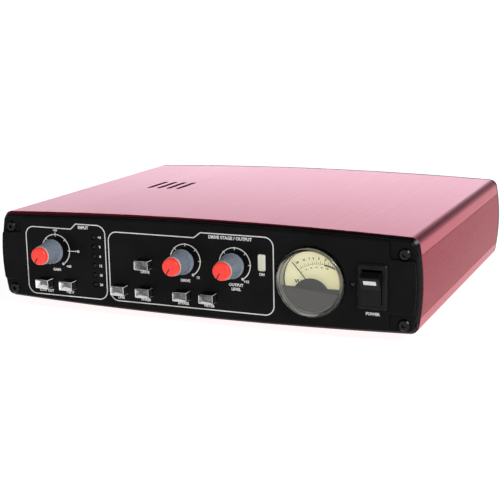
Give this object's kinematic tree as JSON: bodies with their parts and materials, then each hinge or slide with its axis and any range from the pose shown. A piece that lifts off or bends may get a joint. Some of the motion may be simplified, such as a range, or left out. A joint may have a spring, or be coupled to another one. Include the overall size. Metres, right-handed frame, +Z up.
{
  "type": "microphone preamp",
  "caption": "Desktop microphone preamp in a bowed extruded case, with dials, push-buttons, level lamps, a round needle meter and a rocker switch.",
  "frame": {"origin": "centre of the whole object's outline on the plane that its feet stand on", "axes": "+X to the right seen from the front, +Y from the front panel to the rear panel, +Z up"},
  "size_m": [0.225, 0.1978, 0.052],
  "materials": {
    "red_anodised": "satin red anodised extrusion",
    "gloss_black": "smooth black moulding",
    "rear_black": "satin black powder coat",
    "black_steel": "black oxide",
    "foot_rubber": "matt",
    "control_steel": "plain plated",
    "switch_black": "fine texture",
    "led_smoke": "smoked lens",
    "led_clear": "unlit lens",
    "window_cream": "milky lens",
    "meter_clear": "clear moulding",
    "meter_black": "gloss",
    "dial_cream": "printed satin",
    "needle_black": "matt",
    "coil_copper": "enamelled copper",
    "magnet_steel": "sintered",
    "lamp_glass": "clear",
    "rocker_black": "gloss",
    "contact_brass": "bright",
    "board_green": "solder mask",
    "capacitor_sleeve": "shrink sleeve",
    "chip_black": "moulded",
    "heatsink_black": "black anodised",
    "ribbon_grey": "soft",
    "socket_ceramic": "glazed ceramic",
    "tube_clear": "clear",
    "electrode_steel": "dark plated",
    "socket_black": "black die casting",
    "insert_black": "moulded",
    "tab_steel": "nickel",
    "contact_silver": "silver plate",
    "jack_black": "moulded",
    "nut_nickel": "nickel",
    "knob_grey": "blue-grey soft satin",
    "cap_red": "orange-red satin",
    "shaft_metal": "turned",
    "print_white": "screen-printed ink",
    "print_black": "screen-printed ink",
    "button_clear": "clear moulding"
  },
  "bodies": {
    "case": {"button_switches": "switch_black", "case_sleeve": "red_anodised", "filter_capacitors": "capacitor_sleeve", "front_circuit_board": "board_green", "front_panel": "gloss_black", "front_panel_screws": "black_steel", "heatsink": "heatsink_black", "instrument_jack": "jack_black", "jack_nuts": "nut_nickel", "level_leds": "led_smoke", "line_jack": "jack_black", "main_circuit_board": "board_green", "meter_dial": "dial_cream", "meter_housing": "meter_black", "meter_lamp": "lamp_glass", "meter_lens": "meter_clear", "meter_magnet": "magnet_steel", "meter_mask": "meter_black", "mic_socket_insert": "insert_black", "mic_socket_shell": "socket_black", "output_socket_pins": "contact_silver", "output_socket_shell": "socket_black", "potentiometers": "control_steel", "power_inlet": "insert_black", "power_led": "led_clear", "power_switch_housing": "switch_black", "power_switch_terminals": "contact_brass", "rear_panel": "rear_black", "rear_panel_screws": "black_steel", "ribbon_cable": "ribbon_grey", "rubber_feet": "foot_rubber", "signal_chips": "chip_black", "socket_screws": "black_steel", "tube_electrodes": "electrode_steel", "tube_glass": "tube_clear", "tube_socket": "socket_ceramic", "tube_window": "window_cream", "voltage_regulators": "chip_black"},
    "input_dial": {"input_knob": "knob_grey", "input_knob_cap": "cap_red", "input_dial_shaft": "shaft_metal"},
    "drive_dial": {"drive_knob": "knob_grey", "drive_knob_cap": "cap_red", "drive_dial_shaft": "shaft_metal"},
    "output_dial": {"output_knob": "knob_grey", "output_knob_cap": "cap_red", "output_dial_shaft": "shaft_metal"},
    "low_cut_button": {"low_cut_button": "button_clear"},
    "phantom_button": {"phantom_button": "button_clear"},
    "line_button": {"line_button": "button_clear"},
    "phase_button": {"phase_button": "button_clear"},
    "tube_button": {"tube_button": "button_clear"},
    "bypass_button": {"bypass_button": "button_clear"},
    "meter_button": {"meter_button": "button_clear"},
    "power_rocker": {"power_rocker": "rocker_black"},
    "meter_movement": {"meter_needle": "needle_black", "moving_coil": "coil_copper"},
    "mic_release_tab": {"mic_release_tab": "tab_steel"}
  },
  "joints": [
    {"name": "input_dial_turn", "type": "hinge", "parent": "case", "child": "input_dial", "pos_m": [-0.0774, -0.08253, 0.032], "axis": [0, 1, 0], "range_deg": [0, 300]},
    {"name": "drive_dial_turn", "type": "hinge", "parent": "case", "child": "drive_dial", "pos_m": [-0.004, -0.08253, 0.032], "axis": [0, 1, 0], "range_deg": [0, 300]},
    {"name": "output_dial_turn", "type": "hinge", "parent": "case", "child": "output_dial", "pos_m": [0.0222, -0.08253, 0.032], "axis": [0, 1, 0], "range_deg": [0, 300]},
    {"name": "low_cut_button_press", "type": "slide", "parent": "case", "child": "low_cut_button", "axis": [0, 1, 0], "range_m": [0, 0.002], "stiffness_N_per_m": 250, "springref_m": -0.003},
    {"name": "phantom_button_press", "type": "slide", "parent": "case", "child": "phantom_button", "axis": [0, 1, 0], "range_m": [0, 0.002], "stiffness_N_per_m": 250, "springref_m": -0.003},
    {"name": "line_button_press", "type": "slide", "parent": "case", "child": "line_button", "axis": [0, 1, 0], "range_m": [0, 0.002], "stiffness_N_per_m": 250, "springref_m": -0.003},
    {"name": "phase_button_press", "type": "slide", "parent": "case", "child": "phase_button", "axis": [0, 1, 0], "range_m": [0, 0.002], "stiffness_N_per_m": 250, "springref_m": -0.003},
    {"name": "tube_button_press", "type": "slide", "parent": "case", "child": "tube_button", "axis": [0, 1, 0], "range_m": [0, 0.002], "stiffness_N_per_m": 250, "springref_m": -0.003},
    {"name": "bypass_button_press", "type": "slide", "parent": "case", "child": "bypass_button", "axis": [0, 1, 0], "range_m": [0, 0.002], "stiffness_N_per_m": 250, "springref_m": -0.003},
    {"name": "meter_button_press", "type": "slide", "parent": "case", "child": "meter_button", "axis": [0, 1, 0], "range_m": [0, 0.002], "stiffness_N_per_m": 250, "springref_m": -0.003},
    {"name": "power_rocker_tilt", "type": "hinge", "parent": "case", "child": "power_rocker", "pos_m": [0.0904, -0.08213, 0.0268], "axis": [-1, 0, 0], "range_deg": [0, 30]},
    {"name": "needle_swing", "type": "hinge", "parent": "case", "child": "meter_movement", "pos_m": [0.0604, -0.07833, 0.0234], "axis": [0, 1, 0], "range_deg": [0, 82], "stiffness_Nm_per_rad": 0.00005, "springref_deg": -11.46},
    {"name": "mic_release_press", "type": "slide", "parent": "case", "child": "mic_release_tab", "axis": [0, -1, 0], "range_m": [0, 0.0014], "stiffness_N_per_m": 500, "springref_m": -0.002}
  ]
}
